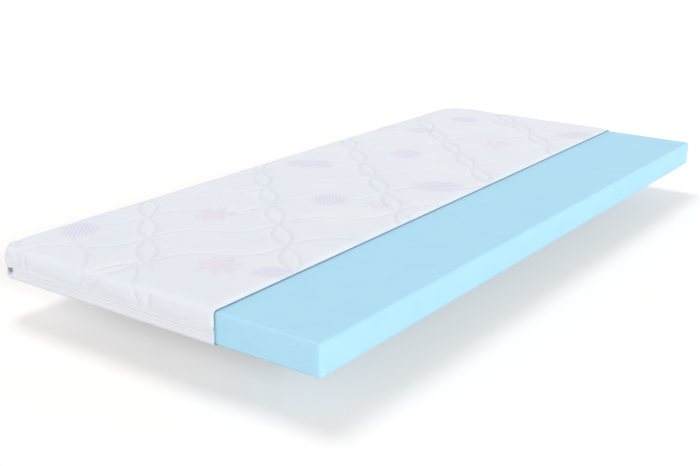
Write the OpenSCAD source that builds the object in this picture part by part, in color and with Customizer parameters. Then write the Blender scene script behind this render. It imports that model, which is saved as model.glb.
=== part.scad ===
// Pressure relief mattress: a soft foam core in a zipped, quilted cover, shown as a
// cutaway. The cover is cut open lengthways, so it wraps one long side and both ends
// like a sleeve, and the foam core shows past the cut.
//
// Millimetres. +X is across the width, towards the open side, +Y is along the length and
// +Z is up. The origin is the middle of the footprint, on the surface that it lies on.
// Depths inside the cover are measured inwards from the upper cover's outer face.

/* [Mattress] */
// Width over the cover's closed side and the foam's open side
mattress_w = 900; // [700:10:1400]
// Length over both ends of the cover
mattress_l = 2000; // [1600:10:2200]
// Thickness of the foam core
foam_t = 70; // [50:1:120]
// Corner radius in plan at the end with the zip's slider
near_corner_r = 32; // [26:1:60]
// Corner radius in plan at the other end
far_corner_r = 95; // [26:1:160]
// Radius of the cover's upper edge
top_edge_r = 14; // [12:1:18]
// Radius of the cover's lower edge
bottom_edge_r = 8; // [6:0.5:12]
// Radius of the foam core's edges
foam_edge_r = 6; // [5:0.5:10]

/* [Cutaway] */
// Where the cover's cut starts, at the end with the slider
cut_x_near = 197; // [120:1:300]
// Where the cover's cut ends, at the other end
cut_x_far = 175; // [120:1:300]

/* [Cover] */
// Thickness of the knitted face fabric
fabric_t = 1; // [0.8:0.1:1.2]
// Thickness of the wadding behind the upper fabric
wadding_t = 6.7; // [4:0.1:7.5]
// Thickness of the backing that the upper fabric is quilted to
backing_t = 0.6; // [0.4:0.1:0.8]
// Thickness of the lower cover's fabric
lower_fabric_t = 1; // [0.8:0.1:1]
// How far the lower cover stands in from the upper cover's outer face
lower_inset = 3.2; // [3:0.1:3.4]

/* [Zip] */
// Height of the middle of the zip
zip_z = 25; // [23:0.5:30]
// Height of the slot between the two turned edges, which the slider runs in
slot_h = 11; // [11:0.5:12]
// Distance from the slot's upper edge to the top of the turned edge
hem_h = 11.5; // [10:0.5:14]
// Thickness of the zip's woven tapes
tape_t = 0.5; // [0.4:0.05:0.5]
// Thickness of the zip's coils
coil_t = 1.5; // [1.2:0.1:1.5]
// Height of one coil
coil_h = 2.1; // [1.8:0.1:2.4]
// Half of the gap between the two coils, which the slider's web runs in
coil_gap = 0.6; // [0.5:0.05:0.7]
// Distance from the slot to the row of stitches on each side
stitch_off = 6; // [4:0.5:8]
// Diameter of the stitching thread
thread_d = 0.6; // [0.4:0.05:0.6]

/* [Slider] */
// Length of the slider along the zip
slider_l = 15; // [13:0.5:16]
// Height of the slider's plates
slider_h = 10; // [9:0.5:10]
// Radius of the post that the pull turns on
post_r = 1.2; // [1:0.1:1.4]
// Clearance between the post or bar and the eye round it
pin_gap = 0.08; // [0.04:0.01:0.1]
// Distance from the post down to the bar that carries the pull tab
link_drop = 9.5; // [9:0.5:10]
// Width of the pull tab
tab_w = 7; // [6:0.5:7]
// Distance from the bar to the pull tab's lower end
tab_l = 12; // [10:0.5:12]

/* [Hidden] */
$fn = 64;
eps = 0.05;      // air between layers of one cover
gap = 0.3;       // clearance between pieces that move apart
over = 10;       // how far cutting shapes run past what they cut
flange = 6;      // flat part of a swept profile, in past its rounded edge
panel_in = 3;    // how far in past the rounded edge a flat panel starts
stitch_air = 0.05;

half_w = mattress_w / 2;
half_l = mattress_l / 2;

// depths inwards from the upper cover's outer face
wadding_d = fabric_t + eps;
backing_d = wadding_d + wadding_t + eps;
quilt_t = backing_d + backing_t;
lower_d = lower_inset + lower_fabric_t;
tape_d = lower_d + eps;
coil_d = tape_d + tape_t + eps;
plate_t = 0.6;
plate_proud = 0.2;   // how far the slider's outer plate stands out past the lower fabric
inner_plate_d = coil_d + coil_t + gap;
foam_d = max(quilt_t, inner_plate_d + plate_t) + gap;
outer_plate_d = lower_inset - plate_proud;
outer_plate_t = tape_d - gap - outer_plate_d;

// heights
foam_z = lower_fabric_t + gap;
mattress_h = foam_z + foam_t + gap + quilt_t;
slot_top = zip_z + slot_h / 2;
slot_bottom = zip_z - slot_h / 2;
hem_top = slot_top + hem_h;
hem_air = 0.5;
quilt_z = hem_top + hem_air;
tape_bottom = bottom_edge_r + 1;
tape_gap = coil_gap + eps;   // half of the gap between the two tapes

near_c = [-half_w + near_corner_r, -half_l + near_corner_r];
far_c = [-half_w + far_corner_r, half_l - far_corner_r];
slider_x = near_c.x + slider_l / 2;
stop_turn = 7;   // degrees of the near corner that an end stop takes up
stop_back = 1;   // degrees between that stop and the corner's end
stop_len = 3;

foam_core_r = 0.5;   // least radius of the foam's corners inside their rounded edge

// the pull link's flat plate, and the bar across its lower end
link_d = 1.3;
link_t = 0.8;
link_half = 3.8;
leg_w = 1.2;
lobe_r = 2.6;
bar_r = 0.6;
bar_d = link_d + link_t / 2;

fabric_col = [0.92, 0.93, 0.96];
wadding_col = [0.97, 0.97, 0.97];
backing_col = [0.60, 0.66, 0.71];
lower_col = [0.88, 0.89, 0.92];
foam_col = [0.66, 0.86, 0.95];
zip_col = [0.95, 0.95, 0.96];
metal_col = [0.45, 0.47, 0.50];

// ---- paths round the cover ----------------------------------------------------------
// A profile is drawn with depth along its x and height along its y.

// Along the end with the slider, from x0 to x1
module near_run(x0, x1) {
  translate([x0, -half_l, 0]) rotate([90, 0, 90]) linear_extrude(x1 - x0) children();
}

// Along the closed long side, from y0 to y1
module side_run(y0, y1) {
  translate([-half_w, y1, 0]) rotate([90, 0, 0]) linear_extrude(y1 - y0) children();
}

// Along the other end, from x0 to x1
module far_run(x0, x1) {
  mirror([0, 1, 0]) near_run(x0, x1) children();
}

// Round a corner of radius r at c, starting at angle a and turning by turn degrees
module corner_run(c, r, a, turn = 90) {
  translate([c.x, c.y, 0]) rotate([0, 0, a])
    rotate_extrude(angle = turn) translate([r, 0]) mirror([1, 0]) children();
}

// Round the whole sleeve: one end, both corners, the long side and the other end
module sleeve_run() {
  near_run(near_c.x, half_w) children();
  corner_run(near_c, near_corner_r, 180) children();
  side_run(near_c.y, far_c.y) children();
  corner_run(far_c, far_corner_r, 90) children();
  far_run(far_c.x, half_w) children();
}

// The sleeve's outline in plan, d inside its outer face, running past the open side
module plan(d) {
  near_r = near_corner_r - d;
  far_r = far_corner_r - d;
  translate(near_c) circle(near_r);
  translate(far_c) circle(far_r);
  translate([near_c.x, -half_l + d]) square([half_w - near_c.x, mattress_l - 2 * d]);
  translate([-half_w + d, near_c.y]) square([half_w, far_c.y - near_c.y]);
  translate([far_c.x, far_c.y]) square([half_w, far_r]);
}

// What is left of the cover after the lengthways cut
module cutaway() {
  run = cut_x_far - cut_x_near;
  lean = atan2(-run, mattress_l);
  middle = (cut_x_near + cut_x_far) / 2;
  difference() {
    children();
    translate([middle, 0, -over]) rotate([0, 0, lean])
      translate([0, -mattress_l, 0]) cube([mattress_w, 2 * mattress_l, mattress_h + 2 * over]);
  }
}

// ---- profiles -----------------------------------------------------------------------
upper_end = top_edge_r + flange;
lower_end = lower_inset + bottom_edge_r + flange;

// Everything more than d inside the upper cover's outer face, above z0
module upper_inside(d, z0, end) {
  translate([d, z0]) square([end - d, mattress_h - top_edge_r - z0]);
  translate([top_edge_r, z0]) square([end - top_edge_r, mattress_h - d - z0]);
  translate([top_edge_r, mattress_h - top_edge_r]) circle(top_edge_r - d);
}

// A layer of the upper cover between two depths, down to z0
module upper_band(d0, d1, z0) {
  difference() {
    upper_inside(d0, z0, upper_end);
    upper_inside(d1, z0 - over, upper_end + over);
  }
}

// Everything more than d inside the lower cover's outer face, up to z1
module lower_inside(d, z1, end) {
  r = bottom_edge_r - d;
  middle = lower_inset + bottom_edge_r;
  translate([lower_inset + d, bottom_edge_r]) square([end - lower_inset - d, z1 - bottom_edge_r]);
  translate([middle, d]) square([end - middle, z1 - d]);
  translate([middle, bottom_edge_r]) circle(r);
}

// The groove that a row of stitches lies in, on a face at depth d
module stitch_groove(d, z) {
  groove = thread_d + 2 * stitch_air;
  translate([d - over, z - groove / 2]) square([over + groove, groove]);
}

module stitch(d, z) {
  translate([d + thread_d / 2 + stitch_air, z]) circle(thread_d / 2);
}

module coil_profile(z0) {
  translate([coil_d, z0]) square([coil_t, coil_h]);
}

// ---- parts shared by the upper and the lower cover ----------------------------------

// A panel over the plan outline, d inside the outer face, between two heights
module panel(d, z0, z1) {
  translate([0, 0, z0]) linear_extrude(z1 - z0) plan(d);
}

// A zip coil along the three closed sides, between the end stops
module zip_coil(z0) {
  cutaway() union() {
    near_run(near_c.x, half_w) coil_profile(z0);
    side_run(near_c.y + stop_len + eps, far_c.y) coil_profile(z0);
    corner_run(far_c, far_corner_r, 90) coil_profile(z0);
    far_run(far_c.x, half_w) coil_profile(z0);
  }
}

// The two stops that end a zip coil at the slider's corner
module end_stops(z0) {
  corner_run(near_c, near_corner_r, 270 - stop_turn - stop_back, stop_turn) coil_profile(z0);
  side_run(near_c.y, near_c.y + stop_len) coil_profile(z0);
}

// ---- foam ---------------------------------------------------------------------------

module foam_puck(x, y, r) {
  core = max(r - foam_edge_r, foam_core_r);
  translate([x, y, 0]) {
    for (z = [foam_z + foam_edge_r, foam_z + foam_t - foam_edge_r])
      translate([0, 0, z]) rotate_extrude($fn = 48)
        translate([core, 0]) difference() {
          circle(foam_edge_r, $fn = 32);
          translate([-2 * foam_edge_r - core, -over]) square([2 * foam_edge_r, 2 * over]);
        }
  }
}

module foam_core() {
  near_r = near_corner_r - foam_d;
  far_r = far_corner_r - foam_d;
  open_r = foam_edge_r + foam_core_r;
  color(foam_col) hull() {
    foam_puck(near_c.x, near_c.y, near_r);
    foam_puck(far_c.x, far_c.y, far_r);
    foam_puck(half_w - open_r, -half_l + foam_d + open_r, open_r);
    foam_puck(half_w - open_r, half_l - foam_d - open_r, open_r);
  }
}

// ---- lower cover --------------------------------------------------------------------

module lower_profile() {
  difference() {
    lower_inside(0, slot_bottom, lower_end);
    lower_inside(lower_fabric_t, slot_bottom + over, lower_end + over);
    stitch_groove(lower_inset, slot_bottom - stitch_off);
  }
}

module lower_fabric() {
  color(lower_col) cutaway() union() {
    sleeve_run() lower_profile();
    panel(lower_inset + bottom_edge_r + panel_in, 0, lower_fabric_t);
  }
}

module lower_zip_tape() {
  color(zip_col) cutaway() sleeve_run()
    translate([tape_d, tape_bottom]) square([tape_t, zip_z - tape_gap - tape_bottom]);
}

module lower_zip_coil() {
  color(zip_col) zip_coil(zip_z - coil_gap - coil_h);
}

module lower_end_stops() {
  color(zip_col) end_stops(zip_z - coil_gap - coil_h);
}

module lower_stitching() {
  color("white") cutaway() sleeve_run() stitch(lower_inset, slot_bottom - stitch_off);
}

// ---- upper cover --------------------------------------------------------------------

// The face fabric turns in under the slot's upper edge and up behind the wadding
module upper_profile() {
  difference() {
    union() {
      upper_band(0, fabric_t, slot_top);
      translate([0, slot_top]) square([lower_d, fabric_t]);
      translate([lower_d - fabric_t, slot_top]) square([fabric_t, hem_h]);
    }
    stitch_groove(0, slot_top + stitch_off);
  }
}

module upper_fabric() {
  color(fabric_col) cutaway() union() {
    sleeve_run() upper_profile();
    panel(top_edge_r + panel_in, mattress_h - fabric_t, mattress_h);
  }
}

// The wadding is full thickness above the hem and thinner inside it
module wadding_profile() {
  upper_band(wadding_d, wadding_d + wadding_t, quilt_z);
  translate([wadding_d, slot_top + fabric_t + eps])
    square([lower_d - fabric_t - eps - wadding_d, hem_h + fabric_t]);
}

module upper_wadding() {
  color(wadding_col) cutaway() union() {
    sleeve_run() wadding_profile();
    panel(top_edge_r + panel_in, mattress_h - wadding_d - wadding_t, mattress_h - wadding_d);
  }
}

module upper_backing() {
  color(backing_col) cutaway() union() {
    sleeve_run() upper_band(backing_d, quilt_t, quilt_z);
    panel(top_edge_r + panel_in, mattress_h - quilt_t, mattress_h - backing_d);
  }
}

module upper_zip_tape() {
  color(zip_col) cutaway() sleeve_run()
    translate([tape_d, zip_z + tape_gap]) square([tape_t, hem_top - zip_z - tape_gap]);
}

module upper_zip_coil() {
  color(zip_col) zip_coil(zip_z + coil_gap);
}

module upper_end_stops() {
  color(zip_col) end_stops(zip_z + coil_gap);
}

module upper_stitching() {
  color("white") cutaway() sleeve_run() stitch(0, slot_top + stitch_off);
}

// ---- slider and pull ----------------------------------------------------------------
// Each piece is drawn facing outwards: x along the zip, y up, z outwards from depth d.

module facing(d, t) {
  translate([slider_x, -half_l + d + t, zip_z]) rotate([90, 0, 0]) linear_extrude(t) children();
}

// A slider plate: full height at the open end, narrower at the closed end
module plate_shape() {
  tall = slider_h / 2;
  nose = 0.62 * tall;
  half = slider_l / 2;
  polygon([[half, -tall], [half, tall], [0, tall], [-half, nose], [-half, -nose], [0, -tall]]);
}

module slider_body() {
  web_l = 4;
  web_h = 0.4;
  head_r = 2;
  head_d = 0.3;
  head_t = 0.7;
  color(metal_col) union() {
    facing(outer_plate_d, outer_plate_t) plate_shape();
    facing(inner_plate_d, plate_t) plate_shape();
    facing(outer_plate_d, inner_plate_d + plate_t - outer_plate_d)
      translate([slider_l / 2 - web_l, -web_h / 2]) square([web_l, web_h]);
    facing(head_d, outer_plate_d + outer_plate_t - head_d) circle(post_r);
    facing(head_d, head_t) circle(head_r);
  }
}

// An eye on the slider's post, two legs and a round bar across their lower ends
module pull_link() {
  yoke_h = leg_w + bar_r;
  color(metal_col) union() {
    facing(link_d, link_t) difference() {
      union() {
        circle(lobe_r);
        translate([-link_half, -lobe_r - leg_w]) square([2 * link_half, yoke_h]);
        for (side = [-1, 1])
          translate([side * (link_half - leg_w / 2) - leg_w / 2, -link_drop])
            square([leg_w, link_drop - lobe_r]);
      }
      circle(post_r + pin_gap);
    }
    translate([slider_x - link_half, -half_l + bar_d, zip_z - link_drop])
      rotate([0, 90, 0]) cylinder(r = bar_r, h = 2 * link_half);
  }
}

// A flat tab that hangs from an eye round the link's bar
module pull_tab() {
  eye_r = 1.15;
  neck_w = 2 * (link_half - leg_w - gap);
  tab_t = 1;
  neck_h = 1.6;
  neck_top = -0.5;
  color("white") difference() {
    union() {
      translate([slider_x - neck_w / 2, -half_l + bar_d, zip_z - link_drop])
        rotate([0, 90, 0]) cylinder(r = eye_r, h = neck_w);
      facing(bar_d - tab_t / 2, tab_t) translate([0, -link_drop]) {
        translate([-neck_w / 2, neck_top - neck_h]) square([neck_w, neck_h]);
        translate([-tab_w / 2, -tab_l]) square([tab_w, tab_l - neck_h]);
      }
    }
    translate([slider_x - link_half, -half_l + bar_d, zip_z - link_drop])
      rotate([0, 90, 0]) cylinder(r = bar_r + pin_gap, h = 2 * link_half);
  }
}

foam_core();
lower_fabric();
lower_zip_tape();
lower_zip_coil();
lower_end_stops();
lower_stitching();
upper_fabric();
upper_wadding();
upper_backing();
upper_zip_tape();
upper_zip_coil();
upper_end_stops();
upper_stitching();
slider_body();
pull_link();
pull_tab();
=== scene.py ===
"""Looks for the pressure relief mattress: a quilted, zipped cover cut open lengthways over a
foam core. Metres, in the part's own frame: +X towards the open side, +Y along the length."""

import math

import bpy
import numpy as np
from mathutils import Matrix, Vector
from mathutils.kdtree import KDTree


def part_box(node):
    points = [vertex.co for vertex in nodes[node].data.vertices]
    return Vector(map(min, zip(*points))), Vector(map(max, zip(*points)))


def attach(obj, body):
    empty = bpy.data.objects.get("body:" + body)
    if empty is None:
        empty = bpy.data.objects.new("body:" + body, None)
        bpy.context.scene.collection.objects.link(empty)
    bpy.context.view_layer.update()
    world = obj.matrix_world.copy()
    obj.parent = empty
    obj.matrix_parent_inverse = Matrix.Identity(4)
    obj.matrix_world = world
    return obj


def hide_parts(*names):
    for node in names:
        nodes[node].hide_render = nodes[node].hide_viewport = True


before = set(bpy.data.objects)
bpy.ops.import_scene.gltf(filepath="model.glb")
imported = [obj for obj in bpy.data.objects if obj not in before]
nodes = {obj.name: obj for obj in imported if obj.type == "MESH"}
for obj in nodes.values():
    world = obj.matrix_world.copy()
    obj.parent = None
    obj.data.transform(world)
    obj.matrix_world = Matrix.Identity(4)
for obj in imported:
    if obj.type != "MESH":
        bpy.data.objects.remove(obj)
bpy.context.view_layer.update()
mm = 0.001

# ---- sizes, from the frame where it has them ------------------------------------------
COVER_LO, COVER_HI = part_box("upper_fabric")
FOAM_LO, FOAM_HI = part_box("foam_core")
LOWER_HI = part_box("lower_fabric")[1]
HALF_W = -COVER_LO.x
HALF_L = -COVER_LO.y
TOP = COVER_HI.z
CUT_NEAR = COVER_HI.x
CUT_FAR = CUT_NEAR - 22 * mm
NEAR_R = 32 * mm  # plan corner at the end with the slider
FAR_R = 95 * mm
EDGE_R = 14 * mm  # the cover's upper edge
LOWER_EDGE_R = 8 * mm
LOWER_IN = 3.2 * mm  # the lower cover stands in this far
FACE_T = 0.8 * mm
QUILT_T = 8.4 * mm
BACKING_T = 0.6 * mm
SLOT_TOP = COVER_LO.z
SLOT_LOW = LOWER_HI.z
HEM_TOP = SLOT_TOP + 11.5 * mm
BACKING_FALL = TOP - HEM_TOP - 0.5 * mm  # from the top down to the backing's lower edge
ZIP_Z = (SLOT_TOP + SLOT_LOW) / 2
STITCH_OFF = 6 * mm
STITCH_PITCH = 4.2 * mm
COIL_OFF = 1.25 * mm  # each coil's middle from the zip's middle
COIL_PITCH = 2 * mm
TAPE_OFF = 0.3 * mm  # each tape's edge from the zip's middle
TAPE_LOW = 9 * mm
OUTLINE_STEP = 4 * mm
STEP = 4 * mm  # the face fabric's mesh
CUT_ZONE = 40 * mm  # along the cut, the filling's mesh is finer and the wadding fuller
STRAIGHT_W = 120 * mm  # beyond this, the columns lean over to the slanting cut

# ---- quilting: diagonal chains of loops, joined by long waves --------------------------
CHAIN_PITCH = 305 * mm
CHAIN_AT = -694 * mm  # one chain's place across the diagonal
LOOP_L = 165 * mm
LOOP_A = 22 * mm
CHAIN_SHIFT = 66 * mm  # each chain's loops lie this much further along than the last's
LOOP_AT = -70 * mm
WAVE_A = 28 * mm
GROOVE_W = 5 * mm
GROOVE_D = 2.7 * mm
PUFF_CAP = 1.7 * mm  # the most that the simulation may lift the face
EDGE_DRAW = 5.2 * mm
EDGE_DRAW_W = 17 * mm
CORNER_DRAW = 4 * mm
CORNER_DRAW_W = 15 * mm
HEM_DRAW = 2.2 * mm  # the sides curve in to the zip this much, over the height below
HEM_DRAW_H = 26 * mm
HEM_R = 0.95 * mm
DRAW_CAP = 6.2 * mm  # the most that the face is drawn in, which leaves room for the wadding
STRAYS_FROM = -0.91  # where the first chain ends and the strokes below begin
LEAF_LOW = (-0.15, -1.03)
LEAF_TIP = (-0.11, -0.90)
STROKES = [  # stitched strokes that leave the pattern: start, end and bow, on the unrolled cover
    ((-0.35, -0.87), (-0.15, -1.04), 30 * mm),
    (LEAF_LOW, LEAF_TIP, 10 * mm),
    (LEAF_LOW, LEAF_TIP, -30 * mm),
    (LEAF_TIP, (0.0, -1.04), 10 * mm),
    ((-0.38, -0.99), (-0.35, -1.04), 5 * mm),
]


# ---- faint woven motifs, midway between the chains --------------------------------------
MOTIF_TURN = math.radians(40)
MOTIF_PITCH = 370 * mm
MOTIF_AT = 50 * mm
MOTIF_SHIFT = 85 * mm  # each bay's motifs lie this much further along than the last's
OVAL, FLOWER, FAN = 1, 2, 3
MOTIF_SIZES = {OVAL: (0.12, 0.13), FLOWER: (0.13, 0.15), FAN: (0.18, 0.13)}
MOTIF_KINDS = (OVAL, FLOWER, FLOWER, OVAL, FAN, FAN)  # in turn, bay by bay
PARTNER = (110 * mm, -60 * mm)  # every second motif has a smaller one this far off
PARTNER_SIZE = 0.65


# ---- small mesh helpers ----------------------------------------------------------------
def new_mesh(name, verts, faces, smooth=True):
    mesh = bpy.data.meshes.new(name)
    mesh.from_pydata([tuple(v) for v in verts], [], faces)
    mesh.validate()
    mesh.update()
    obj = bpy.data.objects.new(name, mesh)
    bpy.context.scene.collection.objects.link(obj)
    if smooth:
        mesh.shade_smooth()
    return obj


def grid_faces(rows, cols, flip=False):
    """Quads of a rows x cols grid of points, numbered row by row."""
    r, c = np.meshgrid(np.arange(rows - 1), np.arange(cols - 1), indexing="ij")
    a = (r * cols + c).ravel()
    quads = np.stack([a, a + 1, a + cols + 1, a + cols], 1)
    return (quads[:, ::-1] if flip else quads).tolist()


def spread(*stops_and_steps):
    """Values from stop to stop: spread(a, step, b, step, c)."""
    out = [stops_and_steps[0]]
    for step, stop in zip(stops_and_steps[1::2], stops_and_steps[2::2]):
        if stop == out[-1]:
            continue
        n = max(1, round(abs(stop - out[-1]) / step))
        out += list(np.linspace(out[-1], stop, n + 1)[1:])
    return np.array(out)


def midpoints(values):
    """The values with one more halfway between each two."""
    return np.interp(np.arange(2 * len(values) - 1) / 2, np.arange(len(values)), values)


def cut_x(y):
    return CUT_NEAR + (CUT_FAR - CUT_NEAR) * (y + HALF_L) / (2 * HALF_L)


def squeeze_corner(x, y, normal, centre, signs, radius, inset):
    """The grid squeezed into a rounded corner, inset from its outline, and the outward normals."""
    (cx, cy), (sx, sy) = centre, signs
    r = radius - inset
    u, v = sx * (x - cx) / r, sy * (y - cy) / r
    inside = (u >= 0) & (v >= 0)
    px = np.where(inside, cx + sx * r * u * np.sqrt(np.clip(1 - v * v / 2, 0, 1)), x)
    py = np.where(inside, cy + sy * r * v * np.sqrt(np.clip(1 - u * u / 2, 0, 1)), y)
    away = np.stack([px - cx, py - cy], -1)
    length = np.maximum(np.linalg.norm(away, axis=-1, keepdims=True), 1e-9)
    return px, py, np.where(inside[..., None], away / length, normal)


def grid_rim(rows, cols):
    """The points all round a rows x cols grid, in order."""
    rim = list(range(cols)) + [r * cols + cols - 1 for r in range(1, rows)]
    rim += [(rows - 1) * cols + k for k in range(cols - 2, -1, -1)]
    return rim + [r * cols for r in range(rows - 2, 0, -1)]


# ---- the sleeve's shape ----------------------------------------------------------------
class Sleeve:
    """A grid over a flat panel, and columns that run over its rounded edge and along the
    closed sides. The panel's grid is squeezed into the rounded corners. The upper cover
    has its panel on top and the lower cover has it underneath, where way is -1."""

    def __init__(self, profile, step, inset=0.0, edge_r=EDGE_R, way=1, halvings=0, cut_step=None,
                 cut_zone=0.0):
        self.way = way
        self.level = TOP if way > 0 else 0.0
        away = inset + edge_r
        x0, y0 = -HALF_W + away, -HALF_L + away
        end = (cut_step or step, CUT_NEAR)
        near_c, far_c = (-HALF_W + NEAR_R, -HALF_L + NEAR_R), (-HALF_W + FAR_R, HALF_L - FAR_R)
        xs = spread(x0, step, near_c[0], step, far_c[0], step, CUT_NEAR - cut_zone, *end)
        ys = spread(y0, step, near_c[1], step, far_c[1], step, -y0)
        profile = np.array(profile)
        for _ in range(halvings):
            xs, ys, profile = midpoints(xs), midpoints(ys), np.apply_along_axis(midpoints, 0, profile)
        x, y = np.meshgrid(xs, ys, indexing="ij")
        share = np.clip((x - xs[0] - STRAIGHT_W) / (xs[-1] - xs[0] - STRAIGHT_W), 0, 1)
        x = x + (cut_x(y) - xs[-1]) * share
        self.nx, self.ny = x.shape
        normal = np.zeros((self.nx, self.ny, 2))
        normal[0, :, 0] = -1
        normal[:, 0] = (0, -1)
        normal[:, -1] = (0, 1)
        for centre, way_y, radius in ((near_c, -1, NEAR_R), (far_c, 1, FAR_R)):
            x, y, normal = squeeze_corner(x, y, normal, centre, (-1, way_y), radius, away)
        self.top = np.stack([x, y], -1)
        i, j = np.arange(self.nx), np.arange(self.ny)
        loop = [(a, 0) for a in i[::-1]] + [(0, b) for b in j[1:]] + [(a, self.ny - 1) for a in i[1:]]
        self.loop = np.array(loop)
        self.edge = self.top[self.loop[:, 0], self.loop[:, 1]]
        self.out = normal[self.loop[:, 0], self.loop[:, 1]]
        self.rows = profile[1:]

    def place(self):
        """Base points, outward normals and unrolled places, panel first and then row by row."""
        n_top = self.nx * self.ny
        points = [np.column_stack([self.top.reshape(-1, 2), np.full(n_top, self.level)])]
        normals = [np.tile((0.0, 0.0, float(self.way)), (n_top, 1))]
        flat = [self.top.reshape(-1, 2)]
        before, run = np.array((0.0, 0.0)), 0.0
        for reach, fall, across, up in self.rows:
            run += math.hypot(reach - before[0], fall - before[1])
            before = np.array((reach, fall))
            height = np.full(len(self.edge), self.level - self.way * fall)
            points.append(np.column_stack([self.edge + self.out * reach, height]))
            size = math.hypot(across, up)
            upward = np.full(len(self.edge), self.way * up / size)
            normals.append(np.column_stack([self.out * across / size, upward]))
            flat.append(self.edge + self.out * run)
        return np.vstack(points), np.vstack(normals), np.vstack(flat)

    def faces(self):
        quads = grid_faces(self.nx, self.ny, flip=True)
        first = (self.loop[:, 0] * self.ny + self.loop[:, 1]).tolist()
        rows = [first]
        start = self.nx * self.ny
        for _ in self.rows:
            rows.append(list(range(start, start + len(first))))
            start += len(first)
        for a, b in zip(rows, rows[1:]):
            quads += [[a[k], a[k + 1], b[k + 1], b[k]] for k in range(len(a) - 1)]
        if self.way < 0:
            quads = [q[::-1] for q in quads]
        return quads, rows

    def rim(self, rows):
        """The points all round the open edge, in order: the cut across the top, both ends' cut
        edges, and the lower edge of the sides."""
        cut = [(self.nx - 1) * self.ny + j for j in range(self.ny)]
        far_side = [row[-1] for row in rows[1:]]
        lower = rows[-1][::-1][1:]
        near_side = [row[0] for row in rows[::-1][1:-1]]
        return cut + far_side + lower + near_side

    def halve(self, values):
        """Values on this grid, spread smoothly to the grid with one more halving."""
        n_top, n_loop = self.nx * self.ny, len(self.loop)
        top = values[:n_top].reshape(self.nx, self.ny)
        first = top[self.loop[:, 0], self.loop[:, 1]]
        band = np.vstack([first[None], values[n_top:].reshape(-1, n_loop)])

        def finer(grid):
            return np.apply_along_axis(midpoints, 1, np.apply_along_axis(midpoints, 0, grid))

        return np.concatenate([finer(top).ravel(), finer(band)[1:].ravel()])


def rounded_profile(radius, *stops_and_steps):
    """A quarter turn from a panel to its side, then straight on: (reach, fall, normal) rows."""
    arc = [(radius * math.sin(a), radius - radius * math.cos(a), math.sin(a), math.cos(a))
           for a in np.linspace(0, math.pi / 2, 5)]
    return arc + [(radius, fall, 1.0, 0.0) for fall in spread(radius, *stops_and_steps)[1:]]


def hem_draw(heights):
    """How far the upper cover's sides curve in towards the zip."""
    share = np.clip((SLOT_TOP + HEM_DRAW_H - np.asarray(heights)) / HEM_DRAW_H, 0, 1)
    return HEM_DRAW * share * share


def turned_edge(reach, fall, height):
    """A turned edge below a side: round under it and up behind."""
    turns = [(reach - HEM_R + HEM_R * math.cos(b), fall + HEM_R * math.sin(b), math.cos(b), -math.sin(b))
             for b in np.linspace(0, math.pi, 7)[1:]]
    behind = reach - 2 * HEM_R
    return turns + [(behind, fall - rise, -1.0, 0.0) for rise in spread(0, 4 * mm, height)[1:]]


def shell(name, outer, inner, quads, rim, inside_out=False):
    """A closed piece between two layers of the same grid."""
    n = len(outer)
    if inside_out:
        rim = rim[::-1]
    back = [[n + k for k in q[::-1]] for q in quads]
    ring = [[rim[k], rim[k - 1], n + rim[k - 1], n + rim[k]] for k in range(len(rim))]
    piece = new_mesh(name, np.vstack([outer, inner]), quads + back + ring)
    piece.data.set_sharp_from_angle(angle=math.radians(50))
    return piece


# ---- quilting --------------------------------------------------------------------------
def unturn(p, q):
    """From places across and along the diagonal to x and y."""
    return np.column_stack([(p - q) / math.sqrt(2), (p + q) / math.sqrt(2)])


def bowed(start, end, bow, fine):
    """A line from start to end that swells to its left by bow."""
    start, end = np.array(start), np.array(end)
    length = np.linalg.norm(end - start)
    left = np.array([start[1] - end[1], end[0] - start[0]]) / length
    t = np.linspace(0, 1, round(length / fine))[:, None]
    return start + (end - start) * t + left * bow * np.sin(math.pi * t)


def quilt_lines():
    """The stitched lines on the unrolled cover, as lists of close points."""
    lines = []
    fine = 3 * mm
    for k in range(-3, 7):
        at = CHAIN_AT + k * CHAIN_PITCH
        phase = LOOP_AT + k * CHAIN_SHIFT
        q = np.arange(-1.3, 1.3, fine)
        for side in (-1, 1):
            swing = LOOP_A * np.sin(math.pi * (q - phase) / LOOP_L)
            line = unturn(at + side * swing, q)
            lines.append(line if k else line[line[:, 1] > STRAYS_FROM])
        t = np.linspace(0, 1, round(CHAIN_PITCH / fine))
        for m in range(-9, 9):
            wave = WAVE_A * np.sin(2 * math.pi * t) + CHAIN_SHIFT * t
            line = unturn(at + CHAIN_PITCH * t, phase + m * LOOP_L + wave)
            if k or line[0, 1] > STRAYS_FROM - 10 * mm:
                lines.append(line)
    kept = []
    for line in lines:
        inside = (np.abs(line[:, 0] + 0.1) < 0.42) & (np.abs(line[:, 1]) < HALF_L + 0.06)
        if inside.sum() > 4:
            kept.append(line[inside])
    return kept + [bowed(start, end, bow, fine) for start, end, bow in STROKES]


LINES = quilt_lines()


def nearest_line(flat):
    """Distance from each unrolled place to the nearest stitched line."""
    points = np.vstack(LINES)
    tree = KDTree(len(points))
    for k, p in enumerate(points):
        tree.insert((p[0], p[1], 0), k)
    tree.balance()
    return np.array([tree.find((p[0], p[1], 0))[2] for p in flat])


def ripple(flat):
    """The quilt's slow unevenness, from -1 to 1."""
    x, y = flat[:, 0], flat[:, 1]
    return (np.sin(9.1 * x + 4.3 * y + 0.7) + np.sin(17.3 * y - 7.9 * x) + np.sin(31 * x + 23 * y + 2)) / 3


def quilt_height(flat, distance):
    """The stitched grooves, and the quilt's slow unevenness."""
    return 0.5 * mm * ripple(flat) - GROOVE_D * np.exp(-((distance / GROOVE_W) ** 2))


def cut_sink(points, reach=14 * mm, deep=3.4 * mm):
    """The layers are pressed together along the cut."""
    gap = np.clip((cut_x(points[:, 1]) - points[:, 0]) / reach, 0, 1)
    return deep * (1 - gap) ** 2


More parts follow.
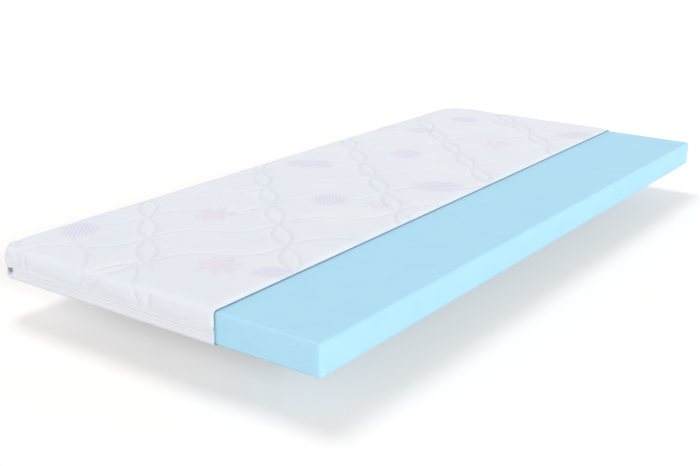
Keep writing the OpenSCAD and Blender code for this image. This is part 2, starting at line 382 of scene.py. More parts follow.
def capped(rise):
    """A rise or sink, with deep sinks eased off."""
    return np.where(rise < 0, DRAW_CAP * np.tanh(rise / DRAW_CAP), rise)


def edge_draw(sleeve):
    """How far the quilt is drawn in over the upper edge, which softens the edge."""
    inner_edge = KDTree(len(sleeve.edge))
    for k, p in enumerate(sleeve.edge):
        inner_edge.insert((p[0], p[1], 0), k)
    inner_edge.balance()
    middle = EDGE_R * math.pi / 4
    top = [middle + inner_edge.find((p[0], p[1], 0))[2] for p in sleeve.top.reshape(-1, 2)]
    runs = np.cumsum(np.hypot(*np.diff(np.vstack([[0, 0], sleeve.rows[:, :2]]), axis=0).T))
    band = [np.full(len(sleeve.loop), run - middle) for run in runs]
    away = np.concatenate([np.array(top), *band])
    return EDGE_DRAW * np.exp(-((away / EDGE_DRAW_W) ** 2))


def puffed(sleeve):
    """Cloth simulation: the face fabric, held along its stitched lines, is blown up a little."""
    base, normals, flat = sleeve.place()
    quads, rows = sleeve.faces()
    cloth = new_mesh("cloth", base, quads)
    distance = nearest_line(flat)
    hold = np.exp(-((distance / (5 * mm)) ** 2))
    hold[sleeve.rim(rows)] = 1
    group = cloth.vertex_groups.new(name="held")
    for k in np.nonzero(hold > 0.05)[0]:
        group.add([int(k)], float(hold[k]), "REPLACE")
    modifier = cloth.modifiers.new("cloth", "CLOTH")
    settings = modifier.settings
    settings.quality = 4
    settings.mass = 0.3
    settings.tension_stiffness = settings.compression_stiffness = 12
    settings.shear_stiffness = 6
    settings.bending_stiffness = 0.4
    settings.vertex_group_mass = "held"
    settings.use_pressure = True
    settings.uniform_pressure_force = 4
    settings.shrink_min = -0.004
    settings.effector_weights.gravity = 0
    modifier.collision_settings.use_collision = False
    scene = bpy.context.scene
    for number in range(1, 16):
        scene.frame_set(number)
    shaped = cloth.evaluated_get(bpy.context.evaluated_depsgraph_get()).to_mesh()
    moved = np.zeros(len(base) * 3)
    shaped.vertices.foreach_get("co", moved)
    scene.frame_set(1)
    bpy.data.objects.remove(cloth)
    rise = ((moved.reshape(-1, 3) - base) * normals).sum(1)
    return PUFF_CAP * np.tanh(np.maximum(rise, 0) / PUFF_CAP)


def put_vectors(obj, name, vectors):
    """A vector for each point, the same on a shell's outer and inner layers."""
    attribute = obj.data.attributes.new(name, "FLOAT_VECTOR", "POINT")
    attribute.data.foreach_set("vector", np.vstack([vectors, vectors]).astype(np.float32).ravel())


def lay_motifs():
    """Places, widths, depths and kinds of the woven motifs on the unrolled cover."""
    motifs = []
    count = 0
    for bay in range(7):
        p = CHAIN_AT + (bay - 0.5) * CHAIN_PITCH
        for m in range(-4, 4):
            q = MOTIF_AT + bay * MOTIF_SHIFT + m * MOTIF_PITCH
            x, y = unturn(p, q)[0]
            if not (-HALF_W < x < CUT_NEAR and abs(y) < HALF_L):
                continue
            kind = MOTIF_KINDS[count % len(MOTIF_KINDS)]
            wide, deep = MOTIF_SIZES[kind]
            motifs.append((x, y, wide, deep, kind))
            if count % 2:
                kind = kind % FAN + 1
                x, y = unturn(p + PARTNER[0], q + PARTNER[1])[0]
                wide, deep = np.array(MOTIF_SIZES[kind]) * PARTNER_SIZE
                motifs.append((x, y, wide, deep, kind))
            count += 1
    return motifs


def nearest_motif(flat):
    """Place within the nearest woven motif, from -1 to 1 across it, and the motif's kind."""
    best = np.full(len(flat), 1e9)
    out = np.full((len(flat), 3), 9.0)
    for x, y, wide, deep, kind in lay_motifs():
        across = (flat - (x, y)) @ np.array([math.cos(MOTIF_TURN), math.sin(MOTIF_TURN)])
        along = (flat - (x, y)) @ np.array([-math.sin(MOTIF_TURN), math.cos(MOTIF_TURN)])
        u, v = across / (wide / 2), along / (deep / 2)
        reach = np.hypot(u, v)
        near = (reach < best) & (reach < 1.6)
        best[near] = reach[near]
        out[near] = np.column_stack([u, v, np.full(len(u), kind)])[near]
    return out


def draw_corner(points):
    """The corner beside the slider is drawn in, more so higher up."""
    middle = np.array((-HALF_W, -HALF_L)) + NEAR_R * (1 - math.sqrt(0.5))
    away = np.linalg.norm(points[:, :2] - middle, axis=1)
    high = np.clip((points[:, 2] - SLOT_TOP) / (TOP - SLOT_TOP), 0, 1)
    shift = CORNER_DRAW * np.exp(-((away / CORNER_DRAW_W) ** 2)) * (1 + high)
    return points + np.column_stack([shift, shift, np.zeros(len(shift))]) * math.sqrt(0.5)


def stitch_dent(base, height):
    """A row of stitches pulls the fabric in a little."""
    return 0.5 * mm * np.exp(-(((base[:, 2] - height) / (1.6 * mm)) ** 2))


def build_face():
    """The quilted face fabric, over the top, down to its turned edge and up behind."""
    fall = TOP - SLOT_TOP - HEM_R
    sides = rounded_profile(EDGE_R, 8 * mm, fall - 10 * mm, 2.4 * mm, fall)
    sides = [(reach - hem_draw(TOP - down), down, across, up) for reach, down, across, up in sides]
    coarse = Sleeve(sides, 2 * STEP)
    turn = turned_edge(sides[-1][0], fall, 10 * mm)
    sleeve = Sleeve(sides, 2 * STEP, halvings=1)
    sleeve.rows = np.vstack([sleeve.rows, turn])
    puff = coarse.halve(puffed(coarse))
    base, normals, flat = sleeve.place()
    puff = np.concatenate([puff, np.zeros(len(base) - len(puff))])
    distance = nearest_line(flat)
    low = np.clip((base[:, 2] - SLOT_TOP - 8 * mm) / (8 * mm), 0, 1)
    rise = capped((puff + quilt_height(flat, distance) - cut_sink(base)) * low - edge_draw(sleeve))
    rise -= stitch_dent(base, SLOT_TOP + STITCH_OFF)
    outer = draw_corner(base + normals * rise[:, None])
    inner = draw_corner(base + normals * (rise - FACE_T)[:, None])
    quads, rows = sleeve.faces()
    face = shell("quilted_face", outer, inner, quads, sleeve.rim(rows))
    put_vectors(face, "flat", np.column_stack([flat, distance]))
    put_vectors(face, "motif", nearest_motif(flat))
    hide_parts("upper_fabric")
    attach(face, "upper_cover")
    return face


def filling_shell(name, sleeve, placed, rise, behind):
    """A closed layer of the quilt, between two depths on the sleeve's grid."""
    base, normals = placed
    quads, rows = sleeve.faces()
    outer, inner = (draw_corner(base + normals * depth[:, None]) for depth in (rise, behind))
    return shell(name, outer, inner, quads, sleeve.rim(rows))


def filling_sleeve(fall):
    """The grid of a layer behind the face, down to fall below the top, with the backing's edge
    on the way."""
    sides = rounded_profile(EDGE_R, 8 * mm, BACKING_FALL, 2 * mm, fall)
    return Sleeve(sides, 10 * mm, cut_step=STEP, cut_zone=CUT_ZONE)


def backing_front(base):
    """How deep the backing's front lies; its last few millimetres before the cut are lifted, so that more
    of its dark colour shows along the cut as painted shade.
    """
    gap = np.clip(1 - (cut_x(base[:, 1]) - base[:, 0]) / (6 * mm), 0, 1)
    return -QUILT_T + BACKING_T + 2.2 * mm * gap


def build_wadding():
    """The wadding: full depth along the cut, clear of the grooves further in, and thin behind
    the turned edge."""
    sleeve = filling_sleeve(TOP - SLOT_TOP - 2.2 * mm)
    base, normals, flat = sleeve.place()
    hem = hem_draw(base[:, 2])
    drawn = edge_draw(sleeve)
    quilted = capped(quilt_height(flat, nearest_line(flat)) - cut_sink(base) - drawn)
    full = quilted - FACE_T - 0.4 * mm - hem
    low = -5.2 * mm - 0.6 * drawn
    near_cut = np.clip((base[:, 0] - cut_x(base[:, 1]) + CUT_ZONE) / (12 * mm), 0, 1)
    in_hem = base[:, 2] < HEM_TOP + 0.4 * mm
    behind = np.where(in_hem, -3.1 * mm, backing_front(base) + 0.1 * mm)
    rise = np.where(in_hem, -FACE_T - 0.1 * mm - hem, low + (full - low) * near_cut)
    rise = np.maximum(rise, behind + 0.15 * mm)
    piece = filling_shell("wadding_layer", sleeve, (base, normals), rise, behind)
    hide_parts("upper_wadding")
    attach(piece, "upper_cover")
    return piece


def build_backing():
    """The thin backing behind the wadding, coloured dark grey-blue, which shows as a dark line along the
    cut: partly the backing's own edge and partly painted shade for the shadow that the cover's cut edge
    casts on the foam.
    """
    sleeve = filling_sleeve(BACKING_FALL)
    base, normals, _ = sleeve.place()
    rise = backing_front(base) + 0.05 * mm
    behind = np.full(len(base), -QUILT_T + 0.05 * mm)
    piece = filling_shell("quilt_backing", sleeve, (base, normals), rise, behind)
    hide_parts("upper_backing")
    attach(piece, "upper_cover")
    return piece


# ---- lower cover and zip ---------------------------------------------------------------
def build_lower_cover():
    """The lower cover: a flat panel underneath and a low skirt up to the zip."""
    sides = rounded_profile(LOWER_EDGE_R, 2 * mm, SLOT_LOW)
    sleeve = Sleeve(sides, 12 * mm, inset=LOWER_IN, edge_r=LOWER_EDGE_R, way=-1)
    base, normals, flat = sleeve.place()
    under = np.clip((6 * mm - base[:, 2]) / (6 * mm), 0, 1)
    rise = -stitch_dent(base, SLOT_LOW - STITCH_OFF) - 0.35 * mm * under * (1 + ripple(flat * 3))
    quads, rows = sleeve.faces()
    outer, inner = (draw_corner(base + normals * depth[:, None]) for depth in (rise, rise - FACE_T))
    cover = shell("lower_sheath", outer, inner, quads, sleeve.rim(rows), inside_out=True)
    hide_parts("lower_fabric")
    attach(cover, "lower_cover")
    return cover


def outline(step):
    """Points round the sleeve's outer face, from the cut near the slider to the far cut, the
    outward directions there, and the distance run."""
    near_c, far_c = (-HALF_W + NEAR_R, -HALF_L + NEAR_R), (-HALF_W + FAR_R, HALF_L - FAR_R)
    points, out = [], []
    for x in spread(cut_x(-HALF_L), step, near_c[0]):
        points.append((x, -HALF_L))
        out.append((0, -1))
    for centre, radius, start in ((near_c, NEAR_R, 270), (far_c, FAR_R, 180)):
        for a in np.radians(spread(start, math.degrees(step / radius), start - 90))[1:]:
            points.append((centre[0] + radius * math.cos(a), centre[1] + radius * math.sin(a)))
            out.append((math.cos(a), math.sin(a)))
        if start == 270:
            for y in spread(near_c[1], step, far_c[1])[1:]:
                points.append((-HALF_W, y))
                out.append((-1, 0))
    for x in spread(far_c[0], step, cut_x(HALF_L))[1:]:
        points.append((x, HALF_L))
        out.append((0, 1))
    points, out = np.array(points), np.array(out, float)
    run = np.concatenate([[0], np.cumsum(np.linalg.norm(np.diff(points, axis=0), axis=1))])
    return points, out, run


def along(runs, depths, heights):
    """Places at distances along the outline, at depths inside it and at heights."""
    points, out, run = outline(OUTLINE_STEP)
    place = [np.interp(runs, run, points[:, k]) - np.interp(runs, run, out[:, k]) * depths for k in (0, 1)]
    return draw_corner(np.column_stack([*place, heights]))


def tube(rings, sides, radius):
    """Tube points and faces round one line of points; radius may change along it."""
    line = np.asarray(rings)
    ahead = np.gradient(line, axis=0)
    ahead /= np.linalg.norm(ahead, axis=1, keepdims=True)
    side = np.cross(ahead, (0, 0, 1.0))
    side /= np.maximum(np.linalg.norm(side, axis=1, keepdims=True), 1e-6)
    upward = np.cross(side, ahead)
    turn = np.arange(sides) * 2 * math.pi / sides
    ring = np.cos(turn)[None, :, None] * side[:, None] + np.sin(turn)[None, :, None] * upward[:, None]
    verts = (line[:, None] + ring * np.broadcast_to(radius, len(line))[:, None, None]).reshape(-1, 3)
    k, m = np.meshgrid(np.arange(len(line) - 1), np.arange(sides), indexing="ij")
    a, b = k * sides + m, k * sides + (m + 1) % sides
    faces = np.stack([a, b, b + sides, a + sides], -1).reshape(-1, 4).tolist()
    faces += [list(range(sides))[::-1], list(range(len(verts) - sides, len(verts)))]
    return verts, faces


def joined(name, parts):
    """One mesh from several (points, faces)."""
    verts, faces, start = [], [], 0
    for v, f in parts:
        verts.append(v)
        faces += [[start + k for k in q] for q in f]
        start += len(v)
    return new_mesh(name, np.vstack(verts), faces)


def build_stitches(name, node, body, depth, height):
    """A row of separate stitches, each dipping into the fabric at its ends."""
    total = outline(OUTLINE_STEP)[2][-1]
    share = np.array((-1, -0.6, 0, 0.6, 1))
    dip = np.array((0.55, 0.12, -0.05, 0.12, 0.55)) * mm
    radius = np.array((0.14, 0.3, 0.34, 0.3, 0.14)) * mm
    parts = []
    for k in range(int((total - 4 * mm) / STITCH_PITCH)):
        runs = 3 * mm + k * STITCH_PITCH + share * 1.5 * mm
        parts.append(tube(along(runs, depth + dip, np.full(5, height)), 5, radius))
    row = joined(name, parts)
    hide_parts(node)
    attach(row, body)
    return row


def build_coil(name, node, body, height):
    """One half of the zip: a coil of stiff thread."""
    total = outline(OUTLINE_STEP)[2][-1]
    per_turn = 7
    count = int((total - 4 * mm) / COIL_PITCH) * per_turn
    t = np.arange(count) / per_turn
    turn = 2 * math.pi * t
    depths = 5.55 * mm + 0.5 * mm * np.sin(turn)
    line = along(2 * mm + t * COIL_PITCH, depths, height + 0.85 * mm * np.cos(turn))
    coil = joined(name, [tube(line, 4, 0.25 * mm)])
    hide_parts(node)
    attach(coil, body)
    return coil


def build_tape(name, node, body, low, high):
    """A woven zip tape: a thin band with thicker woven edges and a slight wave."""
    total = outline(OUTLINE_STEP)[2][-1]
    runs = spread(0, 6 * mm, total)
    heights = np.concatenate([[low], spread(low + 1 * mm, 3 * mm, high - 1 * mm), [high]])
    layers = []
    for face_depth, edge_depth in ((4.27 * mm, 4.33 * mm), (4.72 * mm, 4.66 * mm)):
        grid = []
        for z in heights:
            edge = z in (low, high)
            wave = 0.03 * mm * np.sin(runs * 130 + z * 400)
            grid.append(along(runs, (edge_depth if edge else face_depth) + wave, np.full(len(runs), z)))
        layers.append(np.vstack(grid))
    size = (len(heights), len(runs))
    tape = shell(name, *layers, grid_faces(*size, flip=True), grid_rim(*size), inside_out=True)
    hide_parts(node)
    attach(tape, body)
    return tape


def build_tab():
    """The pull: a narrow tape folded over the link's bar and sewn flat below it."""
    lo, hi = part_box("pull_tab")
    turn_r = 0.88 * mm  # the tape's middle, round the link's bar
    middle_x, bar_y, bar_z = (lo.x + hi.x) / 2, -HALF_L + 1.7 * mm, ZIP_Z - 9.5 * mm
    rows = []
    for side in (-1, 1):
        stops = [(0.28, lo.z), (0.34, lo.z + 1 * mm), (0.34, lo.z + 4 * mm), (0.4, bar_z - 3.2 * mm),
                 (0.75, bar_z - 1.6 * mm)]
        leg = [(bar_y + side * d * mm, z) for d, z in stops]
        turn = [(bar_y + side * turn_r * math.cos(a), bar_z + turn_r * math.sin(a))
                for a in np.linspace(-0.3, math.pi / 2, 6)]
        rows.append(leg + turn)
    path = np.array(rows[0] + rows[1][::-1][1:])
    across = np.linspace(-1, 1, 9)
    wide = np.interp(path[:, 1], (bar_z - 4 * mm, bar_z - 1.8 * mm), (3.5 * mm, 2.2 * mm))
    ahead = np.gradient(path, axis=0)
    ahead /= np.linalg.norm(ahead, axis=1, keepdims=True)
    out = np.column_stack([-ahead[:, 1], ahead[:, 0]])
    layers = []
    for lift in (0.2 * mm, -0.2 * mm):
        y = path[:, 0] + out[:, 0] * lift
        z = path[:, 1] + out[:, 1] * lift
        grid = [[(middle_x + w * c, y[k], z[k]) for c in across] for k, w in enumerate(wide)]
        layers.append(np.array(grid).reshape(-1, 3))
    size = (len(path), len(across))
    tab = shell("pull_tape", *layers, grid_faces(*size), grid_rim(*size))
    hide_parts("pull_tab")
    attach(tab, "zip_pull")
    return tab


# ---- foam ------------------------------------------------------------------------------
def build_foam():
    """The foam core: a cut block with softly rounded edges and a slightly uneven skin."""
    edge = 7 * mm
    lo, hi = FOAM_LO, FOAM_HI
    near_r, far_r, open_r = 23.3 * mm, 86.3 * mm, 8.5 * mm
    step = 14 * mm
    xs = spread(lo.x + edge, 4 * mm, lo.x + near_r, step, lo.x + far_r, step, hi.x - open_r, 1 * mm,
                hi.x - edge)
    ys = spread(lo.y + edge, 1 * mm, lo.y + open_r, 4 * mm, lo.y + near_r, step, hi.y - far_r, step,
                hi.y - open_r, 1 * mm, hi.y - edge)
    x, y = np.meshgrid(xs, ys, indexing="ij")
    nx, ny = x.shape
    normal = np.zeros((nx, ny, 2))
    normal[0, :, 0] = -1
    normal[-1, :, 0] = 1
    normal[:, 0] = (0, -1)
    normal[:, -1] = (0, 1)
    corners = [(lo.x + near_r, lo.y + near_r, -1, -1, near_r), (lo.x + far_r, hi.y - far_r, -1, 1, far_r),
               (hi.x - open_r, lo.y + open_r, 1, -1, open_r), (hi.x - open_r, hi.y - open_r, 1, 1, open_r)]
    for cx, cy, sx, sy, radius in corners:
        x, y, normal = squeeze_corner(x, y, normal, (cx, cy), (sx, sy), radius, edge)
    loop = [(i, 0) for i in range(nx)] + [(nx - 1, j) for j in range(1, ny)]
    loop += [(i, ny - 1) for i in range(nx - 2, -1, -1)] + [(0, j) for j in range(ny - 2, 0, -1)]
    loop = np.array(loop)
    plan = np.stack([x, y], -1)
    ring, out = plan[loop[:, 0], loop[:, 1]], normal[loop[:, 0], loop[:, 1]]
    verts = [np.column_stack([plan.reshape(-1, 2), np.full(nx * ny, hi.z)])]
    arc = np.linspace(0, math.pi / 2, 7)
    rows = [(edge * math.sin(a), hi.z - edge + edge * math.cos(a)) for a in arc[1:]]
    rows += [(edge, z) for z in np.linspace(hi.z - edge, lo.z + edge, 6)[1:-1]]
    rows += [(edge * math.sin(a), lo.z + edge - edge * math.cos(a)) for a in arc[:0:-1]]
    for reach, z in rows:
        verts.append(np.column_stack([ring + out * reach, np.full(len(ring), z)]))
    verts.append(np.column_stack([plan.reshape(-1, 2), np.full(nx * ny, lo.z)]))
    verts = np.vstack(verts)
    n_top, n_ring = nx * ny, len(ring)
    loop_index = loop[:, 0] * ny + loop[:, 1]
    rings = [loop_index] + [n_top + k * n_ring + np.arange(n_ring) for k in range(len(rows))]
    rings.append(n_top + len(rows) * n_ring + loop_index)
    faces = grid_faces(nx, ny, flip=True)
    bottom = np.array(grid_faces(nx, ny)) + n_top + len(rows) * n_ring
    faces += bottom.tolist()
    for a, b in zip(rings, rings[1:]):
        faces += np.stack([a, b, np.roll(b, -1), np.roll(a, -1)], 1).tolist()
    foam = new_mesh("foam_block", draw_corner(verts), faces)
    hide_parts("foam_core")
    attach(foam, "foam")
    return foam


# ---- materials -------------------------------------------------------------------------
class Nodes:
    """A short way to build a material's nodes."""

    def __init__(self, name):
        self.material = bpy.data.materials.new(name)
        self.material.use_nodes = True
        self.tree = self.material.node_tree
        self.tree.nodes.clear()
        self.shader = self.add("ShaderNodeBsdfPrincipled")
        output = self.add("ShaderNodeOutputMaterial")
        self.link(self.shader.outputs[0], output.inputs["Surface"])

    def add(self, kind, **values):
        node = self.tree.nodes.new(kind)
        for key, value in values.items():
            if key in node.inputs:
                node.inputs[key].default_value = value
            else:
                setattr(node, key, value)
        return node

    def link(self, a, b):
        self.tree.links.new(a, b)

    def coords(self):
        return self.add("ShaderNodeTexCoord").outputs["Object"]

    def noise(self, where, scale, detail=2.0, roughness=0.5):
        node = self.add("ShaderNodeTexNoise", Scale=scale, Detail=detail, Roughness=roughness)
        self.link(where, node.inputs["Vector"])
        return node.outputs["Fac"]

    def math(self, operation, a, b=0.0, c=0.0):
        node = self.add("ShaderNodeMath", operation=operation)
        for socket, value in zip(node.inputs, (a, b, c)):
            if isinstance(value, (int, float)):
                socket.default_value = value
            else:
                self.link(value, socket)
        return node.outputs[0]

    def plus(self, a, b):
        return self.math("ADD", a, b)

    def minus(self, a, b):
        return self.math("SUBTRACT", a, b)

    def times(self, a, b):
        return self.math("MULTIPLY", a, b)

    def split(self, attribute):
        """The three numbers of a vector that put_vectors() has stored."""
        stored = self.add("ShaderNodeAttribute", attribute_name=attribute)
        parts = self.add("ShaderNodeSeparateXYZ")
        self.link(stored.outputs["Vector"], parts.inputs[0])
        return parts.outputs

    def ramp(self, fac, stops):
        node = self.add("ShaderNodeValToRGB")
        elements = node.color_ramp.elements
        while len(elements) < len(stops):
            elements.new(0.5)
        for element, (at, colour) in zip(elements, stops):
            element.position = at
            element.color = (*colour, 1)
        self.link(fac, node.inputs["Fac"])
        return node.outputs["Color"]

    def mix(self, fac, a, b, blend="MIX"):
        node = self.add("ShaderNodeMix", data_type="RGBA", blend_type=blend)
        for socket, value in ((node.inputs[0], fac), (node.inputs[6], a), (node.inputs[7], b)):
            if isinstance(value, (int, float)):
                socket.default_value = value
            elif isinstance(value, tuple):
                socket.default_value = (*value, 1)
            else:
                self.link(value, socket)
        return node.outputs[2]

    def bump(self, height, distance, strength=1.0):
        node = self.add("ShaderNodeBump", Distance=distance, Strength=strength)
        self.link(height, node.inputs["Height"])
        self.link(node.outputs["Normal"], self.shader.inputs["Normal"])
        return node

    def colour(self, value):
        self.link(value, self.shader.inputs["Base Color"])

    def set(self, **values):
        for key, value in values.items():
            self.shader.inputs[key.replace("_", " ")].default_value = value


def linear(r, g, b):
    """From screen colour, 0 to 255, to the shader's linear colour."""
    return tuple((v / 255 / 12.92) if v < 10.3 else ((v / 255 + 0.055) / 1.055) ** 2.4 for v in (r, g, b))


def motif_pattern(n, where):
    """The woven motifs: where they are, their lines, how far they tint the knit, and the tint."""
    across, upward, kind = n.split("motif")
    is_oval, is_flower, is_fan = (n.math("COMPARE", kind, float(k), 0.3) for k in (OVAL, FLOWER, FAN))
    wander = n.plus(0.16, n.times(is_flower, 0.75))
    u = n.plus(across, n.times(n.minus(n.noise(where, 40, 3), 0.5), wander))
    v = n.plus(upward, n.times(n.minus(n.noise(where, 47, 3), 0.5), wander))
    reach = n.math("SQRT", n.plus(n.times(u, u), n.times(v, v)))
    turn = n.math("ARCTAN2", v, u)
    rib = n.math("SINE", n.times(u, 44.0))
    petals = n.math("ABSOLUTE", n.math("COSINE", n.times(turn, 3.5)))
    petal_reach = n.math("DIVIDE", reach, n.plus(0.5, n.times(petals, 0.42)))
    petal_line = n.minus(1.0, n.math("ABSOLUTE", n.times(n.minus(petal_reach, 0.8), 7.0)))
    veins = n.times(n.math("SINE", n.times(turn, 15.0)), 0.5)
    flower = n.math("MAXIMUM", petal_line, veins)
    fan = n.math("SINE", n.times(n.math("ARCTAN2", v, n.plus(u, 1.15)), 26.0))
    lines = n.plus(n.plus(n.times(rib, is_oval), n.times(flower, is_flower)), n.times(fan, is_fan))
    edge = n.plus(0.92, n.times(is_flower, n.times(n.minus(petals, 1.0), 0.45)))
    fade = n.math("MAXIMUM", n.times(n.minus(edge, reach), 3.0), 0.0)
    mask = n.math("SMOOTH_MIN", fade, 1.0, 0.2)
    mask = n.times(mask, n.plus(is_oval, n.plus(is_flower, is_fan)))
    fill = n.plus(0.34, n.times(is_flower, -0.04))
    weight = n.plus(0.2, n.times(is_flower, 0.2))
    strength = n.math("MAXIMUM", n.times(mask, n.plus(fill, n.times(lines, weight))), 0.0)
    pinkness = n.plus(n.times(is_flower, 0.75), n.times(n.minus(0.3, u), 0.35))
    pinkness = n.math("MINIMUM", n.math("MAXIMUM", pinkness, 0.0), 1.0)
    return mask, lines, strength, n.mix(pinkness, linear(205, 202, 228), linear(238, 204, 222))


def knit_material():
    """White knit with faint woven motifs in pink and lilac, a fine rib, and painted shade that darkens the
    knit along the stitched grooves.
    """
    n = Nodes("quilted_knit")
    where = n.coords()
    speck = n.noise(where, 900, 3)
    slow = n.noise(where, 9, 2)
    base = n.ramp(slow, [(0.3, linear(227, 232, 240)), (0.7, linear(233, 236, 241))])
    mask, lines, strength, tint = motif_pattern(n, where)
    # painted shade: within 6 mm of each stitched line the knit is mixed towards grey-blue, standing in for
    # the shade inside the quilting grooves
    from_seam = n.split("flat")[2]
    groove_shade = n.math("MAXIMUM", n.minus(1.0, n.math("DIVIDE", from_seam, 6 * mm)), 0.0)
    base = n.mix(n.times(groove_shade, 0.22), base, linear(206, 212, 222))
    yarn = n.ramp(speck, [(0.3, linear(222, 226, 234)), (0.7, linear(243, 245, 248))])
    n.colour(n.mix(strength, n.mix(0.25, base, yarn), tint))
    cells = n.add("ShaderNodeTexVoronoi", Scale=420.0)
    n.link(where, cells.inputs["Vector"])
    height = n.plus(speck, n.times(n.times(lines, mask), 0.4))
    n.bump(n.plus(height, cells.outputs["Distance"]), 0.3 * mm, 0.5)
    n.set(Roughness=0.85)
    n.shader.inputs["Sheen Weight"].default_value = 0.15
    return n.material


def foam_material():
    """Pale blue foam with fine open cells."""
    n = Nodes("foam")
    where = n.coords()
    cells = n.add("ShaderNodeTexVoronoi", Scale=700.0)
    n.link(where, cells.inputs["Vector"])
    fine = n.noise(where, 420, 4, 0.7)
    slow = n.noise(where, 14, 3)
    base = n.ramp(slow, [(0.3, linear(176, 225, 247)), (0.7, linear(184, 229, 249))])
    pores = n.ramp(fine, [(0.35, linear(160, 213, 240)), (0.6, linear(188, 232, 250))])
    n.colour(n.mix(0.35, base, pores))
    n.bump(n.math("ADD", fine, cells.outputs["Distance"]), 0.4 * mm, 0.5)
    n.set(Roughness=0.9)
    return n.material


def plain_material(name, low, high, scale, rough=0.8, metal=0.0, depth=0.2 * mm):
    """A fine grain between two colours."""
    n = Nodes(name)
    where = n.coords()
    grain = n.noise(where, scale, 4, 0.6)
    n.colour(n.ramp(grain, [(0.3, low), (0.7, high)]))
    n.bump(grain, depth, 0.5)
    n.set(Roughness=rough, Metallic=metal)
    return n.material


def paint(obj, material):
    obj.data.materials.clear()
    obj.data.materials.append(material)


# ---- stage -----------------------------------------------------------------------------
def build_camera():
    """The photograph's viewpoint, fitted to the mattress's outline."""
    yaw, pitch, roll = math.radians(-35.08), math.radians(18.15), math.radians(0.72)
    forward = np.array([math.sin(yaw) * math.cos(pitch), math.cos(yaw) * math.cos(pitch), -math.sin(pitch)])
    level = np.array([math.cos(yaw), -math.sin(yaw), 0])
    upright = np.cross(level, forward)
    right = math.cos(roll) * level + math.sin(roll) * upright
    up = -math.sin(roll) * level + math.cos(roll) * upright
    matrix = Matrix.Identity(4)
    for row in range(3):
        matrix[row][0], matrix[row][1], matrix[row][2] = right[row], up[row], -forward[row]
    matrix.translation = (1.489, -2.386, 0.851)
    data = bpy.data.cameras.new("camera")
    data.sensor_width = 36
    data.lens = 54.8
    data.clip_end = 100
    camera = bpy.data.objects.new("camera", data)
    camera.matrix_world = matrix
    bpy.context.scene.collection.objects.link(camera)
    bpy.context.scene.camera = camera


def sun(name, towards, strength, spread_deg):
    """A soft light from far off, in the direction towards; at strength 1 it alone shows a white
    surface that faces it as white."""
    data = bpy.data.lights.new(name, "SUN")
    data.energy = strength * math.pi
    data.angle = math.radians(spread_deg)
    light = bpy.data.objects.new(name, data)
    light.rotation_euler = Vector(towards).to_track_quat("Z", "Y").to_euler()
    bpy.context.scene.collection.objects.link(light)


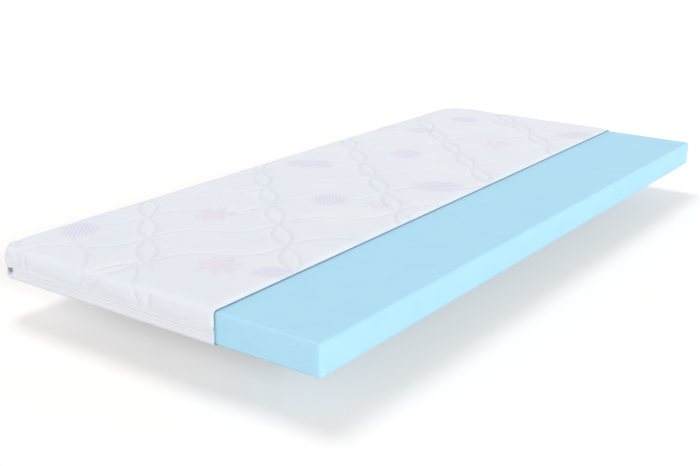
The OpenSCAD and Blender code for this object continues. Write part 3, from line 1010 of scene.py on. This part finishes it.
def build_stage():
    """A white sweep: the sky is brighter low down, and the floor glows a little by itself, which
    lights nothing but the floor, so that it stays white and its shadow stays pale."""
    world = bpy.data.worlds.new("studio")
    world.use_nodes = True
    tree = world.node_tree
    where = tree.nodes.new("ShaderNodeTexCoord")
    split = tree.nodes.new("ShaderNodeSeparateXYZ")
    ramp = tree.nodes.new("ShaderNodeValToRGB")
    tree.links.new(where.outputs["Generated"], split.inputs[0])
    tree.links.new(split.outputs["Z"], ramp.inputs["Fac"])
    low, high = ramp.color_ramp.elements
    low.position, low.color = 0.3, (0.96, 0.98, 1, 1)
    high.position, high.color = 0.68, (0.2, 0.2, 0.2, 1)
    background = tree.nodes["Background"]
    tree.links.new(ramp.outputs["Color"], background.inputs["Color"])
    background.inputs["Strength"].default_value = 1.3
    bpy.context.scene.world = world
    sun("overhead", (-0.42, 0.24, 1), 0.34, 26)
    sun("key", (0.87, -0.43, 0.33), 0.42, 16)
    size = 30
    floor_z = -90 * mm
    corners = [(x, y, floor_z) for x, y in ((-size, -size), (size, -size), (size, size), (-size, size))]
    floor = new_mesh("floor", corners, [[0, 1, 2, 3]])
    n = Nodes("floor")
    n.colour(n.ramp(n.noise(n.coords(), 3), [(0.3, (0.77, 0.745, 0.725)), (0.7, (0.78, 0.755, 0.735))]))
    n.shader.inputs["Emission Color"].default_value = (1, 1, 1, 1)
    n.shader.inputs["Emission Strength"].default_value = 0.31
    n.set(Roughness=1.0)
    paint(floor, n.material)
    unlit = bpy.data.collections.new("unlit")
    floor.light_linking.receiver_collection = unlit
    unlit.objects.link(floor)
    view = bpy.context.scene.view_settings
    view.view_transform = "Standard"
    view.look = "None"


build_camera()
build_stage()
face = build_face()
wadding = build_wadding()
backing = build_backing()
foam = build_foam()
lower = build_lower_cover()
row_z = SLOT_TOP + STITCH_OFF
row_in = hem_draw(row_z) + 0.4 * mm
upper_row = build_stitches("upper_stitches", "upper_stitching", "upper_cover", row_in, row_z)
row_z = SLOT_LOW - STITCH_OFF
row_in = LOWER_IN + 0.4 * mm
lower_row = build_stitches("lower_stitches", "lower_stitching", "lower_cover", row_in, row_z)
upper_coil = build_coil("upper_coil", "upper_zip_coil", "upper_cover", ZIP_Z + COIL_OFF)
lower_coil = build_coil("lower_coil", "lower_zip_coil", "lower_cover", ZIP_Z - COIL_OFF)
lower_tape = build_tape("lower_tape", "lower_zip_tape", "lower_cover", TAPE_LOW, ZIP_Z - TAPE_OFF)
upper_tape = build_tape("upper_tape", "upper_zip_tape", "upper_cover", ZIP_Z + TAPE_OFF, HEM_TOP)
tab = build_tab()

knit = plain_material("lower_knit", linear(226, 229, 236), linear(238, 240, 245), 700)
tape = plain_material("zip_tape", linear(235, 236, 240), linear(243, 244, 246), 900)
coil = plain_material("zip_coil", linear(236, 237, 240), linear(246, 246, 248), 400, rough=0.4)
thread = plain_material("thread", linear(236, 237, 240), linear(246, 246, 248), 1500, rough=0.6)
metal = plain_material("slider_metal", linear(158, 162, 168), linear(188, 191, 196), 300, rough=0.35,
                       metal=0.4)
paint(face, knit_material())
paint(foam, foam_material())
paint(wadding, plain_material("wadding", linear(235, 236, 238), linear(250, 250, 250), 600))
# painted shade: the backing's dark grey-blue stands in partly for the shadow along the cover's cut edge
paint(backing, plain_material("backing", linear(112, 130, 144), linear(135, 150, 164), 500))
paint(lower, knit)
for piece, material in ((upper_row, thread), (lower_row, thread), (upper_coil, coil), (lower_coil, coil),
                        (lower_tape, tape), (upper_tape, tape), (tab, tape)):
    paint(piece, material)
for name, material in (("lower_end_stops", coil), ("upper_end_stops", coil), ("slider_body", metal),
                       ("pull_link", metal)):
    paint(nodes[name], material)

bpy.context.view_layer.update()
